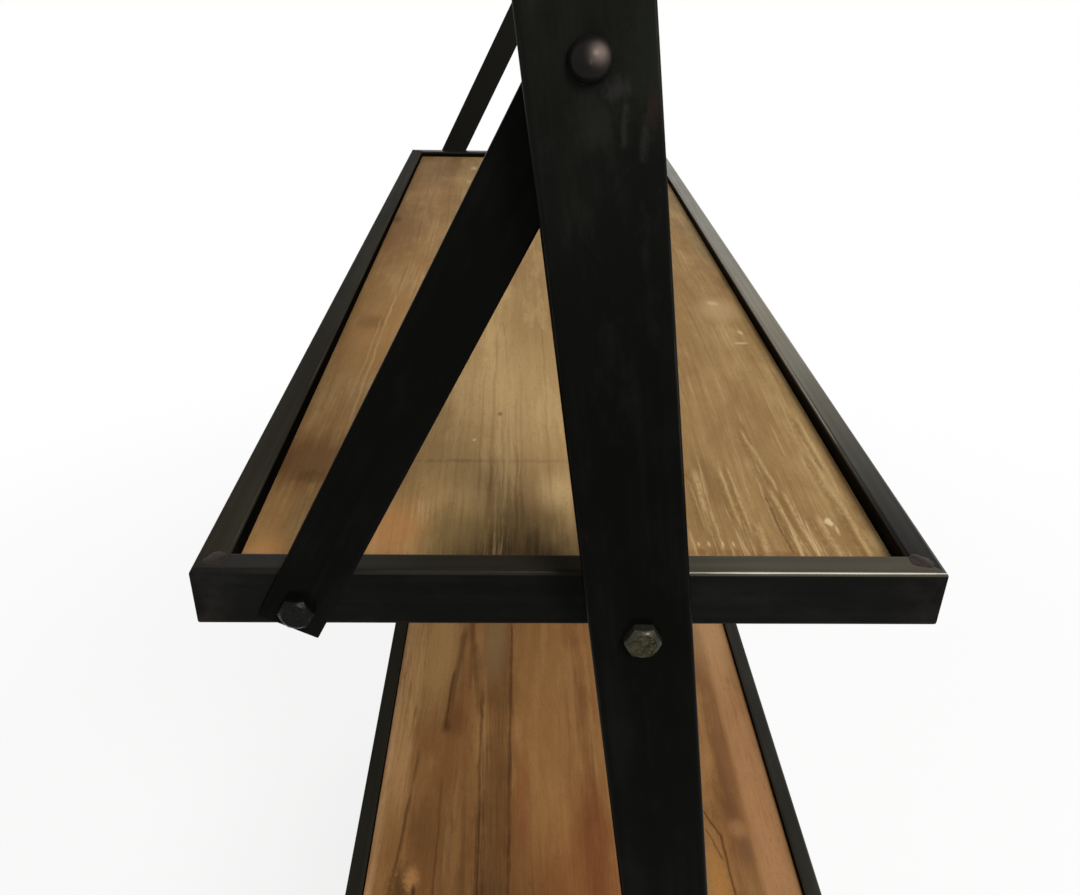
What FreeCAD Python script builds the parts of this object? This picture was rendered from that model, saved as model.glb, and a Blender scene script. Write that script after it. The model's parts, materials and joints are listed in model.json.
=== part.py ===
"""Leaning-mast shelf unit: four framed fir shelves hung on two leaning tube masts and flat straps.

Millimetres. X runs along the shelves, -Y is the front, +Y the back, Z is up.
The origin is on the floor, in the middle of the lowest shelf.
"""
import FreeCAD, Part
import math
import os

# Shelves, counted from the floor
shelf_count = 4
shelf_length = 864.0
top_shelf_depth = 242.0
depth_step = 63.0
shelf_pitch = 423.0
floor_clearance = 84.0

# Rail tube of the shelf frames
rail_height = 27.0
rail_width = 13.0
rail_wall = 1.5
rail_corner = 2.0

# Fir panels and the flat bearers below them
panel_thickness = 15.0
panel_gap = 1.0
panel_edge = 1.0
bearer_count = 3
bearer_width = 20.0
bearer_thickness = 3.0
bearer_end_inset = 130.0

# Masts, leaning back by an angle in degrees from where they cross the lowest shelf
mast_width = 40.0
mast_depth = 20.0
mast_wall = 2.0
mast_corner = 3.0
mast_lean = 7.9
front_overhang = 135.0
mast_above_dome = 45.0
cap_thickness = 3.0

# Straps
strap_width = 26.0
strap_thickness = 4.0
strap_edge = 0.8
strap_foot_margin = 10.0
strap_head_margin = 13.0
strap_bolt_inset = 42.3
strap_bolt_rise = 11.0
dome_rise = 193.0

# Rear legs and feet
leg_width = 25.0
leg_wall = 1.5
leg_corner = 2.0
foot_pad = 6.0
foot_plug = 18.0
foot_clearance = 0.2

# Bolts, nuts and washers
bolt_diameter = 8.0
hole_clearance = 0.8
thread_clearance = 0.1
hex_flats = 13.0
hex_head_height = 5.3
nut_height = 6.5
weld_nut_height = 4.0
bolt_tail = 2.0
dome_diameter = 13.0
dome_height = 6.5
dome_rim = 1.5
washer_diameter = 16.0
washer_thickness = 1.6
spacer_diameter = 22.0

# Wood screws
screw_diameter = 4.0
screw_head_diameter = 8.0
screw_head_height = 2.4
screw_hole_clearance = 0.5
screw_tip = 3.0
screw_cover = 4.0
screw_edge_inset = 45.0

# Places worked out from the sizes above
base_depth = top_shelf_depth + (shelf_count - 1) * depth_step
back_y = base_depth / 2
end_x = shelf_length / 2
mast_x = end_x + strap_thickness
lean = math.radians(mast_lean)
bolt_hole = bolt_diameter + hole_clearance
thread_bore = bolt_diameter + thread_clearance
shelves = range(1, shelf_count + 1)
sides = {"left": -1, "right": 1}

X_AXIS = FreeCAD.Vector(1, 0, 0)
Y_AXIS = FreeCAD.Vector(0, 1, 0)
Z_AXIS = FreeCAD.Vector(0, 0, 1)
ORIGIN = FreeCAD.Vector(0, 0, 0)


def shelf_depth(shelf):
    """Depth of a shelf's frame, front to back."""
    return base_depth - (shelf - 1) * depth_step


def frame_bottom(shelf):
    """Height of the underside of a shelf's frame."""
    return floor_clearance + (shelf - 1) * shelf_pitch


def front_y(shelf):
    """Front face of a shelf's frame."""
    return back_y - shelf_depth(shelf)


def mast_bolt_z(shelf):
    """Height of the bolt that holds a shelf to the mast: half way up the rail."""
    return frame_bottom(shelf) + rail_height / 2


def mast_y(z):
    """Centre line of the mast at a height."""
    return front_y(1) + front_overhang + (z - mast_bolt_z(1)) * math.tan(lean)


def dome_z(shelf):
    """Height of the dome-headed bolt above a shelf."""
    return frame_bottom(shelf) + rail_height + dome_rise


def strap_foot(shelf):
    """Place of the bolt at the foot of a strap, as (y, z)."""
    return back_y - strap_bolt_inset, frame_bottom(shelf) + strap_bolt_rise


def strap_head(shelf):
    """Place of the bolt at the head of a strap, as (y, z)."""
    return mast_y(dome_z(shelf)), dome_z(shelf)


def box(x0, x1, y0, y1, z0, z1):
    """Box between two corners."""
    return Part.makeBox(x1 - x0, y1 - y0, z1 - z0, FreeCAD.Vector(x0, y0, z0))


def rounded_face(width, height, radius):
    """Rectangle in the XY plane about the origin, with round corners."""
    if radius <= 0:
        return Part.makePlane(width, height, FreeCAD.Vector(-width / 2, -height / 2, 0))
    arcs = []
    for quarter in range(4):
        middle = math.pi / 4 + quarter * math.pi / 2
        centre_x = math.copysign(width / 2 - radius, math.cos(middle))
        centre_y = math.copysign(height / 2 - radius, math.sin(middle))
        points = []
        for turn in (-math.pi / 4, 0, math.pi / 4):
            x = centre_x + radius * math.cos(middle + turn)
            y = centre_y + radius * math.sin(middle + turn)
            points.append(FreeCAD.Vector(x, y, 0))
        arcs.append(points)
    edges = []
    for corner, points in enumerate(arcs):
        edges.append(Part.Arc(*points).toShape())
        edges.append(Part.makeLine(points[2], arcs[(corner + 1) % 4][0]))
    return Part.Face(Part.Wire(edges))


def bar(width, height, radius, length):
    """Solid bar along Z from the origin."""
    return rounded_face(width, height, radius).extrude(Z_AXIS * length)


def tube(width, height, wall, radius, length):
    """Rectangular tube along Z from the origin, open at both ends."""
    inner_radius = max(radius - wall, 0)
    inside = bar(width - 2 * wall, height - 2 * wall, inner_radius, length)
    return bar(width, height, radius, length).cut(inside)


def prism(points, z0, z1):
    """Upright prism over a plan outline given as (x, y) points."""
    corners = [FreeCAD.Vector(x, y, z0) for x, y in points]
    outline = Part.makePolygon(corners + corners[:1])
    return Part.Face(outline).extrude(Z_AXIS * (z1 - z0))


def rod(diameter, x0, x1, y, z):
    """Round rod along X."""
    return Part.makeCylinder(diameter / 2, x1 - x0, FreeCAD.Vector(x0, y, z), X_AXIS)


def turned(points):
    """Solid of revolution about Z from (radius, height) points, closed along the axis."""
    corners = [FreeCAD.Vector(radius, 0, height) for radius, height in points]
    outline = Part.makePolygon(corners + corners[:1])
    return Part.Face(outline).revolve(ORIGIN, Z_AXIS, 360)


def hexagon(flats, height):
    """Hexagonal prism along Z with corners on the Y axis, both ends chamfered at the corners."""
    corner_radius = flats / math.sqrt(3)
    points = []
    for corner in range(6):
        angle = math.pi / 2 + corner * math.pi / 3
        points.append((corner_radius * math.cos(angle), corner_radius * math.sin(angle)))
    chamfer = (corner_radius - flats / 2) * math.tan(math.radians(30))
    barrel = turned([
        (0, 0),
        (flats / 2, 0),
        (corner_radius, chamfer),
        (corner_radius, height - chamfer),
        (flats / 2, height),
        (0, height),
    ])
    return prism(points, 0, height).common(barrel)


def along_x(shape, x, y, z):
    """Turn a shape made along Z to point along +X and set it at a place."""
    moved = shape.copy()
    moved.Placement = FreeCAD.Placement(FreeCAD.Vector(x, y, z), FreeCAD.Rotation(Y_AXIS, 90))
    return moved


def on_side(shape, side):
    """A shape made for the right end, mirrored for the left one."""
    if side > 0:
        return shape
    return shape.mirror(ORIGIN, X_AXIS)


def on_both_sides(shapes):
    """Mirror images for the left end, then the shapes made for the right end."""
    return [on_side(shape, side) for side in sides.values() for shape in shapes]


def save(node, *solids):
    """Write one node: a single solid, or a group of separate ones."""
    shape = solids[0] if len(solids) == 1 else Part.makeCompound(list(solids))
    shape.exportStep(f"parts/{node}.step")


def mitre_plan(along, outer, inner):
    """Plan outline, as (along, across), that cuts a rail at 45 degrees at both ends of its frame."""
    low, high = along
    spare = rail_width / 2
    out = math.copysign(spare, outer - inner)
    return [
        (low - spare, outer + out),
        (high + spare, outer + out),
        (high - rail_width - spare, inner - out),
        (low + rail_width + spare, inner - out),
    ]


def mitre_block(shelf, plan):
    """Upright block over a mitre outline, a little taller than the shelf's frame."""
    z0 = frame_bottom(shelf)
    return prism(plan, z0 - rail_wall, z0 + rail_height + rail_wall)


def rail_along_x(shelf, outer, inner):
    """Rail along X between its outer and inner face, mitred at both ends."""
    length = shelf_length + 2 * rail_width
    blank = tube(rail_height, rail_width, rail_wall, rail_corner, length)
    rail = along_x(blank, -length / 2, (outer + inner) / 2, mast_bolt_z(shelf))
    return rail.common(mitre_block(shelf, mitre_plan((-end_x, end_x), outer, inner)))


def front_rail(shelf):
    """Front rail of a shelf's frame."""
    return rail_along_x(shelf, front_y(shelf), front_y(shelf) + rail_width)


def back_rail(shelf):
    """Back rail of a shelf's frame."""
    return rail_along_x(shelf, back_y, back_y - rail_width)


def end_rail(shelf):
    """Right end rail, mitred, with the holes for the mast bolt and the strap bolt in its outer wall."""
    length = shelf_depth(shelf) + 2 * rail_width
    rail = tube(rail_width, rail_height, rail_wall, rail_corner, length)
    start = FreeCAD.Vector(end_x - rail_width / 2, back_y + rail_width, mast_bolt_z(shelf))
    rail.Placement = FreeCAD.Placement(start, FreeCAD.Rotation(X_AXIS, 90))
    plan = mitre_plan((front_y(shelf), back_y), end_x, end_x - rail_width)
    rail = rail.common(mitre_block(shelf, [(across, along) for along, across in plan]))
    for y, z in rail_bolts(shelf):
        rail = rail.cut(rod(bolt_hole, end_x - rail_width / 2, end_x + rail_wall, y, z))
    return rail


def rail_bolts(shelf):
    """Places of the mast bolt and the strap bolt in an end rail, as (y, z)."""
    z = mast_bolt_z(shelf)
    return [(mast_y(z), z), strap_foot(shelf)]


def bearer_places():
    """Middle of each bearer along X."""
    first = -end_x + bearer_end_inset
    step = -2 * first / (bearer_count - 1)
    return [first + step * index for index in range(bearer_count)]


def screw_rows(shelf):
    """Front and back row of the screws under a shelf, along Y."""
    inset = rail_width + screw_edge_inset
    return front_y(shelf) + inset, back_y - inset


def bearers(shelf):
    """Flat bars welded between front and back rail, level with the underside of the frame."""
    z0 = frame_bottom(shelf)
    hole_radius = (screw_diameter + screw_hole_clearance) / 2
    bars = []
    for x in bearer_places():
        flat = box(
            x - bearer_width / 2,
            x + bearer_width / 2,
            front_y(shelf) + rail_width,
            back_y - rail_width,
            z0,
            z0 + bearer_thickness,
        )
        for y in screw_rows(shelf):
            flat = flat.cut(Part.makeCylinder(hole_radius, bearer_thickness, FreeCAD.Vector(x, y, z0)))
        bars.append(flat)
    return bars


def panel(shelf):
    """Fir panel, resting on the bearers inside the frame, with pilot holes from below."""
    z0 = frame_bottom(shelf) + bearer_thickness
    inset = rail_width + panel_gap
    board = box(
        -end_x + inset,
        end_x - inset,
        front_y(shelf) + inset,
        back_y - inset,
        z0,
        z0 + panel_thickness,
    )
    board = board.makeFillet(panel_edge, board.Edges)
    depth = panel_thickness - screw_cover
    straight = depth - screw_tip
    pilot = turned([(0, 0), (screw_diameter / 2, 0), (screw_diameter / 2, straight), (0, depth)])
    for x in bearer_places():
        for y in screw_rows(shelf):
            drill = pilot.copy()
            drill.translate(FreeCAD.Vector(x, y, z0))
            board = board.cut(drill)
    return board


def panel_screw():
    """Pan-head screw pointing up, the underside of its head at the origin."""
    length = bearer_thickness + panel_thickness - screw_cover
    return turned([
        (0, -screw_head_height),
        (screw_head_diameter / 4, -screw_head_height),
        (screw_head_diameter / 2, -screw_head_height / 3),
        (screw_head_diameter / 2, 0),
        (screw_diameter / 2, 0),
        (screw_diameter / 2, length - screw_tip),
        (0, length),
    ])


def panel_screws():
    """Every screw that holds a panel to its bearers."""
    screws = []
    for shelf in shelves:
        for x in bearer_places():
            for y in screw_rows(shelf):
                screw = panel_screw()
                screw.translate(FreeCAD.Vector(x, y, frame_bottom(shelf)))
                screws.append(screw)
    return screws


def mast_length():
    """Length of the mast's centre line from the floor to its upper end."""
    return dome_z(shelf_count) / math.cos(lean) + mast_above_dome


def along_mast(shape, start=0):
    """Set a shape made along Z on the right mast's centre line, from a distance above the floor."""
    moved = shape.copy()
    turn = FreeCAD.Rotation(X_AXIS, -math.degrees(lean))
    foot = FreeCAD.Vector(mast_x + mast_depth / 2, mast_y(0), 0)
    moved.Placement = FreeCAD.Placement(foot + turn.multVec(Z_AXIS * start), turn)
    return moved


def level_slice(shape, z0, z1):
    """The part of a shape between two heights."""
    reach = shelf_length + base_depth
    return shape.common(box(-reach, reach, -reach, reach, z0, z1))


def mast():
    """Right mast: tube cut level above its foot, with two bolt holes for each shelf."""
    below = mast_width
    blank = tube(mast_depth, mast_width, mast_wall, mast_corner, mast_length() + below)
    post = level_slice(along_mast(blank, -below), foot_pad, 2 * mast_length())
    for shelf in shelves:
        for z in (mast_bolt_z(shelf), dome_z(shelf)):
            post = post.cut(rod(bolt_hole, mast_x - mast_wall, mast_x + mast_depth + mast_wall, mast_y(z), z))
    return post


def mast_cap():
    """Plate welded on the upper end of the right mast."""
    return along_mast(bar(mast_depth, mast_width, mast_corner, cap_thickness), mast_length())


def mast_foot():
    """Moulded foot of the right mast: a pad as wide as the tube and a plug inside it."""
    below = mast_width
    length = 2 * below + foot_pad + foot_plug
    slim = 2 * (mast_wall + foot_clearance)
    plug_corner = max(mast_corner - mast_wall, 0)
    pad = along_mast(bar(mast_depth, mast_width, mast_corner, length), -below)
    plug = along_mast(bar(mast_depth - slim, mast_width - slim, plug_corner, length), -below)
    pad = level_slice(pad, 0, foot_pad)
    return pad.fuse(level_slice(plug, foot_pad / 2, foot_pad + foot_plug)).removeSplitter()


def leg_place():
    """Centre of the right rear leg in plan, flush with the frame's outer faces."""
    return FreeCAD.Vector(end_x - leg_width / 2, back_y - leg_width / 2, 0)


def rear_leg():
    """Right rear leg: square tube under the back corner of the lowest frame."""
    leg = tube(leg_width, leg_width, leg_wall, leg_corner, frame_bottom(1) - foot_pad)
    leg.translate(leg_place() + Z_AXIS * foot_pad)
    return leg


def rear_foot():
    """Moulded foot of the right rear leg."""
    slim = 2 * (leg_wall + foot_clearance)
    plug = bar(leg_width - slim, leg_width - slim, max(leg_corner - leg_wall, 0), foot_pad + foot_plug)
    foot = bar(leg_width, leg_width, leg_corner, foot_pad).fuse(plug).removeSplitter()
    foot.translate(leg_place())
    return foot


def strap(shelf):
    """Right strap: flat bar from the end rail up to the mast, square cut, with a hole at each end."""
    foot_y, foot_z = strap_foot(shelf)
    head_y, head_z = strap_head(shelf)
    between = math.hypot(head_y - foot_y, head_z - foot_z)
    turn = FreeCAD.Rotation(X_AXIS, math.degrees(math.atan2(foot_y - head_y, head_z - foot_z)))
    flat = bar(strap_thickness, strap_width, strap_edge, strap_foot_margin + between + strap_head_margin)
    centre = FreeCAD.Vector(end_x + strap_thickness / 2, foot_y, foot_z)
    flat.Placement = FreeCAD.Placement(centre - turn.multVec(Z_AXIS * strap_foot_margin), turn)
    for y, z in ((foot_y, foot_z), (head_y, head_z)):
        flat = flat.cut(rod(bolt_hole, end_x - strap_thickness, end_x + 2 * strap_thickness, y, z))
    return flat


def hex_bolt(grip):
    """Hex bolt along Z: head above the origin, shank of a given length below it."""
    shank = Part.makeCylinder(bolt_diameter / 2, grip, FreeCAD.Vector(0, 0, -grip))
    return hexagon(hex_flats, hex_head_height).fuse(shank)


def hex_nut(height):
    """Hex nut along Z from the origin, with a plain bore."""
    return hexagon(hex_flats, height).cut(Part.makeCylinder(thread_bore / 2, height))


def ring(diameter, thickness):
    """Washer or spacer along Z from the origin, with a clearance hole."""
    disc = Part.makeCylinder(diameter / 2, thickness)
    return disc.cut(Part.makeCylinder(bolt_hole / 2, thickness))


def dome_bolt(grip):
    """Dome-headed bolt along Z: a low rim and a round crown above the origin, the shank below it."""
    radius = dome_diameter / 2
    rim = FreeCAD.Vector(radius, 0, dome_rim)
    crown = FreeCAD.Vector(0, 0, dome_height)
    rise = dome_height - dome_rim
    arc_radius = (radius ** 2 + rise ** 2) / (2 * rise)
    half_angle = math.atan2(radius, arc_radius - rise) / 2
    middle_z = dome_height - arc_radius * (1 - math.cos(half_angle))
    middle = FreeCAD.Vector(arc_radius * math.sin(half_angle), 0, middle_z)
    edge = FreeCAD.Vector(radius, 0, 0)
    outline = Part.Wire([
        Part.makeLine(ORIGIN, edge),
        Part.makeLine(edge, rim),
        Part.Arc(rim, middle, crown).toShape(),
        Part.makeLine(crown, ORIGIN),
    ])
    head = Part.Face(outline).revolve(ORIGIN, Z_AXIS, 360)
    return head.fuse(Part.makeCylinder(bolt_diameter / 2, grip, FreeCAD.Vector(0, 0, -grip)))


def mast_joint(shelf):
    """Bolt, spacer and weld nut that hold a shelf's right end to the mast, by node name."""
    y, z = rail_bolts(shelf)[0]
    grip = mast_depth + strap_thickness + rail_wall + weld_nut_height
    return {
        "mast_bolts": along_x(hex_bolt(grip), mast_x + mast_depth, y, z),
        "mast_spacers": along_x(ring(spacer_diameter, strap_thickness), end_x, y, z),
        "mast_weld_nuts": along_x(hex_nut(weld_nut_height), end_x - rail_wall - weld_nut_height, y, z),
    }


def strap_joint(shelf):
    """Bolt and weld nut that hold the foot of a right strap to its end rail, by node name."""
    y, z = rail_bolts(shelf)[1]
    grip = strap_thickness + rail_wall + weld_nut_height
    return {
        "strap_bolts": along_x(hex_bolt(grip), end_x + strap_thickness, y, z),
        "strap_weld_nuts": along_x(hex_nut(weld_nut_height), end_x - rail_wall - weld_nut_height, y, z),
    }


def dome_joint(shelf):
    """Bolt, washer and nut that hold the head of a right strap to the mast, by node name."""
    y, z = strap_head(shelf)
    washer_x = end_x - washer_thickness
    grip = mast_depth + strap_thickness + washer_thickness + nut_height + bolt_tail
    return {
        "dome_bolts": along_x(dome_bolt(grip), mast_x + mast_depth, y, z),
        "dome_washers": along_x(ring(washer_diameter, washer_thickness), washer_x, y, z),
        "dome_nuts": along_x(hex_nut(nut_height), washer_x - nut_height, y, z),
    }


def fasteners():
    """Every bolt, nut, washer and spacer of the right end, in groups by node name."""
    groups = {}
    for shelf in shelves:
        for joint in (mast_joint, strap_joint, dome_joint):
            for node, shape in joint(shelf).items():
                groups.setdefault(node, []).append(shape)
    return groups


os.makedirs("parts", exist_ok=True)

for shelf in shelves:
    save(f"shelf_{shelf}_front_rail", front_rail(shelf))
    save(f"shelf_{shelf}_back_rail", back_rail(shelf))
    save(f"shelf_{shelf}_panel", panel(shelf))
    save(f"shelf_{shelf}_bearers", *bearers(shelf))
    for name, side in sides.items():
        save(f"shelf_{shelf}_{name}_rail", on_side(end_rail(shelf), side))
        save(f"shelf_{shelf}_{name}_strap", on_side(strap(shelf), side))

for name, side in sides.items():
    save(f"{name}_mast", on_side(mast(), side))
    save(f"{name}_mast_cap", on_side(mast_cap(), side))
    save(f"{name}_mast_foot", on_side(mast_foot(), side))
    save(f"{name}_rear_leg", on_side(rear_leg(), side))
    save(f"{name}_rear_foot", on_side(rear_foot(), side))

for node, shapes in fasteners().items():
    save(node, *on_both_sides(shapes))
save("panel_screws", *panel_screws())
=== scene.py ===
"""Looks of the leaning-mast shelf unit: blackened steel frames, worn fir panels and aged bolts.

Metres, in the part's own frame: X runs along the shelves, -Y is the front, Z is up.
"""
import json
import math
from typing import NamedTuple

import bmesh
import bpy
from bpy.props import FloatProperty, FloatVectorProperty, IntProperty, PointerProperty
from mathutils import Matrix, Vector, noise


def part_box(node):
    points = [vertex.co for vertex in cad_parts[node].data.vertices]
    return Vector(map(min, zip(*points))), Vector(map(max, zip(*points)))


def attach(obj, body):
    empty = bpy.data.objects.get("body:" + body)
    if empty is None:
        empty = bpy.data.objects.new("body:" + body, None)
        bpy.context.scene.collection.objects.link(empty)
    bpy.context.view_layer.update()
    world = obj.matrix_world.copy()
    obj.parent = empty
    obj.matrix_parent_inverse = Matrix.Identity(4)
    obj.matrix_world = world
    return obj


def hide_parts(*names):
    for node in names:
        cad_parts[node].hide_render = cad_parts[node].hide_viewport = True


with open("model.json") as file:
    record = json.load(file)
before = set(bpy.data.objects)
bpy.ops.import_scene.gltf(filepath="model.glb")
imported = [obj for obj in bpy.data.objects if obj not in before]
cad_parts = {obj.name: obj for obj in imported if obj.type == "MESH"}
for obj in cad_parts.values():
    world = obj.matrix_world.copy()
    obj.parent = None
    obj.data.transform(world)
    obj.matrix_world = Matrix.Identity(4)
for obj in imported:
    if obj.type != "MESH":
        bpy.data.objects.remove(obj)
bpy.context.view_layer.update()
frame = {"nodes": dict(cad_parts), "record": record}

bl_info = {
    "name": "Leaning-mast shelf unit",
    "version": (1, 0, 0),
    "blender": (4, 5, 0),
    "location": "3D View > Sidebar > Shelf unit",
    "description": "Dresses the shelf unit's frame in blackened steel, fir and aged bolts",
    "category": "Object",
}

BODY = "root"
SHELVES = (1, 2, 3, 4)
ENDS = ("left", "right")
BAR_LAYERS = ("edge", "seam", "rub_and_light", "sheen", "dust_and_light")

# Thin film on the steel that gives it its satin gloss, and how far heat tints it from a mitre
STEEL_COAT_IOR = 1.16
STEEL_COAT_ROUGHNESS = 0.22
HEAT_REACH = 0.024

# Degrees from the back rail of a frame to each of its rails
RAIL_TURNS = {"back": 0, "right": -90, "front": 180, "left": 90}

# How glossy each rail is, by the place along it from -1 to 1; the left rail's lower gloss in its middle
# paints the shade of the strap and the mast
RAIL_SHEEN_AND_SHADE = {
    "back": lambda along: 0.1,
    "right": lambda along: 0.8,
    "front": lambda along: 1.0,
    "left": lambda along: 0.45 + 0.35 * clamp((along - 0.45) / 0.3) + 0.25 * clamp(-along / 0.3),
}

# How far the tops of the rails are rubbed by hands and painted lighter, by the place along them, and on the
# low shelves; the lighter part is painted reflection on the upper shelves' rails, and the low shelves get
# little of it, as painted shade
RAIL_RUB_AND_LIGHT = {
    "back": lambda along: 0.12,
    "right": lambda along: 0.07 + 0.23 * clamp(along / 0.4),
    "front": lambda along: clamp((0.85 - along) / 0.55) * (0.8 + 0.25 * along),
    "left": lambda along: 0.07 * clamp((1 - along) / 0.4) + 0.21 * clamp(-along / 0.4),
}
LOW_SHELVES = (1, 2)
LOW_SHELF_RUB_AND_LIGHT = 0.08

# Gloss of the other bars, and the dust on each end's straps; the right end's straps get a full grey veil,
# which paints the light that falls on them
MAST_SHEEN = 0.2
STRAP_SHEEN = 0.25
PLAIN_SHEEN = 0.35
STRAP_DUST_AND_LIGHT = {"left": 0.0, "right": 2.0}

# Where each kind of bar starts in the steel's pattern, and its steps per shelf and per bar
PATTERN_SHIFTS = {
    "rail": (0, 3.3, 0.9),
    "mast": (20, 0, 5.1),
    "cap": (31, 0, 2.3),
    "strap": (40, 2.7, 1.1),
    "leg": (60, 0, 1.9),
    "bearer": (70, 1.3, 0.7),
}

# How far the tops of warped panels are lifted at their left and right ends
PANEL_LIFT = {2: (0.003, 0.003), 3: (0.0, 0.0035)}

# Steepest angles that are shaded smooth on a piece and left unrounded on a bolt, in degrees
SMOOTH_ANGLE = 32
BOLT_EDGE_ANGLE = 25

# Depths below a mast's outer face between which its marks fade in
MARK_DEPTHS = (0.0025, 0.0005)

# Hex heads: points round a head, its flat crown as a share of its width, and its chamfer in degrees
HEX_POINTS = 48
HEX_CROWN = 0.4
HEX_CHAMFER = 40
SHANK_POINTS = 24

# Unevenness of the weld lumps and how closely it is spaced
WELD_UNEVEN = 0.4
WELD_SPACING = 1.6


def clamp(value):
    """A number held between 0 and 1."""
    return min(max(value, 0.0), 1.0)


def srgb(red, green, blue):
    """A screen colour from 0 to 255 as the linear colour that a shader takes."""
    linear = []
    for part in (red / 255, green / 255, blue / 255):
        linear.append(part / 12.92 if part <= 0.04045 else ((part + 0.055) / 1.055) ** 2.4)
    return tuple(linear)


def length_prop(name, description, default):
    """Property for a size in metres."""
    return FloatProperty(name=name, description=description, default=default, unit="LENGTH", precision=4)


def colour_prop(name, description, default):
    """Property for a linear colour."""
    return FloatVectorProperty(name=name, description=description, default=default, subtype="COLOR", size=3)


class ShelfUnitSizes(bpy.types.PropertyGroup):
    """Sizes that the frame's boxes don't give."""

    rail_corner: length_prop("Rail corner", "Radius of the rail tube's long edges", 0.002)
    mast_corner: length_prop("Mast corner", "Radius of the mast tube's long edges", 0.003)
    leg_corner: length_prop("Leg corner", "Radius of the rear legs' long edges", 0.002)
    strap_width: length_prop("Strap width", "Width of the flat straps", 0.026)
    strap_edge: length_prop("Strap edge", "Radius of the straps' long edges", 0.0008)
    cap_thickness: length_prop("Cap thickness", "Thickness of the plates on the masts", 0.003)
    cap_edge: length_prop("Cap edge", "Radius of the cap plates' edges", 0.0006)
    bearer_width: length_prop("Bearer width", "Width of the bars under the panels", 0.020)
    bearer_edge: length_prop("Bearer edge", "Radius of the bearers' long edges", 0.0005)
    bearer_count: IntProperty(name="Bearers", description="Bars under each panel", default=3, min=2)
    panel_edge: length_prop("Panel edge", "Radius of the panels' edges", 0.0004)
    panel_gap: length_prop("Panel gap", "Gap between a panel and the rails round it", 0.0002)
    weld_inset: length_prop("Weld inset", "From a frame's outer faces to the middle of a corner weld", 0.0085)
    weld_length: length_prop("Weld length", "Length of a corner weld along the mitre", 0.0105)
    weld_width: length_prop("Weld width", "Width of a corner weld", 0.0075)
    weld_rise: length_prop("Weld rise", "Height of a ground corner weld above the rails", 0.0005)
    hex_flats: length_prop("Hex flats", "Width of the bolt heads across flats", 0.013)
    hex_height: length_prop("Hex height", "Height of the bolt heads", 0.0053)
    hex_edge: length_prop("Hex edge", "Radius of the bolt heads' edges", 0.0003)
    bolt_shank: length_prop("Bolt shank", "Diameter of the hex bolts' shanks", 0.008)


class ShelfUnitColours(bpy.types.PropertyGroup):
    """Linear colours of the finishes."""

    steel: colour_prop("Steel", "Blackened steel", srgb(7, 7, 6))
    steel_worn: colour_prop("Worn steel", "Blackened steel where it is worn thin", srgb(22, 22, 19))
    # Also the colour of the painted light on the right end's straps
    steel_dusty: colour_prop("Dusty steel", "Faint grey smudges", srgb(26, 26, 23))
    # Rubbed steel and painted reflection: the colour that lightens the rail tops
    steel_rubbed_and_lit: colour_prop("Rubbed steel", "Rail tops rubbed by hands", srgb(118, 112, 94))
    # Worn edges, also used as a painted highlight along the rail tops' edges
    steel_bare: colour_prop("Bare steel", "Steel along worn edges", srgb(150, 145, 132))
    heat: colour_prop("Heat tint", "Brown tint beside the welds", srgb(38, 32, 28))
    rust: colour_prop("Rust", "Faint rust marks", srgb(40, 22, 17))
    weld: colour_prop("Weld", "Ground weld metal", srgb(44, 36, 32))
    bolt: colour_prop("Bolt steel", "Faces of the aged plain bolts", srgb(52, 50, 33))
    bolt_side: colour_prop("Bolt sides", "Chamfers and flats of the plain bolts", srgb(49, 47, 39))
    bolt_grime: colour_prop("Bolt grime", "Dirt on the bolts", srgb(22, 20, 11))
    bolt_bright: colour_prop("Bright bolt", "Rubbed spots on the bolts", srgb(118, 112, 86))
    bolt_black: colour_prop("Black bolts", "Blackened bolts on the straps", srgb(14, 14, 13))
    bronze: colour_prop("Bronzed steel", "Brown dome heads", srgb(20, 18, 17))
    # Painted highlight: the light colour put on the domes' upper front
    bronze_highlight: colour_prop("Rubbed bronze", "Crowns of the dome heads", srgb(96, 84, 77))
    plastic: colour_prop("Foot plastic", "Moulded feet", srgb(24, 24, 24))
    floor: colour_prop("Floor", "Plain pale floor", srgb(246, 246, 245))


def sum_node(operation, reflected=False):
    """A Python operator on shader numbers, which adds a Math node."""

    def apply(self, other):
        values = (other, self) if reflected else (self, other)
        return self.finish.math(operation, *values)

    return apply


class Value:
    """One shader number: a node's output that can stand in Python sums."""

    __add__ = sum_node("ADD")
    __radd__ = sum_node("ADD", True)
    __sub__ = sum_node("SUBTRACT")
    __rsub__ = sum_node("SUBTRACT", True)
    __mul__ = sum_node("MULTIPLY")
    __rmul__ = sum_node("MULTIPLY", True)
    __truediv__ = sum_node("DIVIDE")
    __rtruediv__ = sum_node("DIVIDE", True)
    __pow__ = sum_node("POWER")
    __rpow__ = sum_node("POWER", True)

    def __init__(self, finish, socket):
        self.finish = finish
        self.socket = socket

    def __abs__(self):
        return self.finish.math("ABSOLUTE", self)


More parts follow.
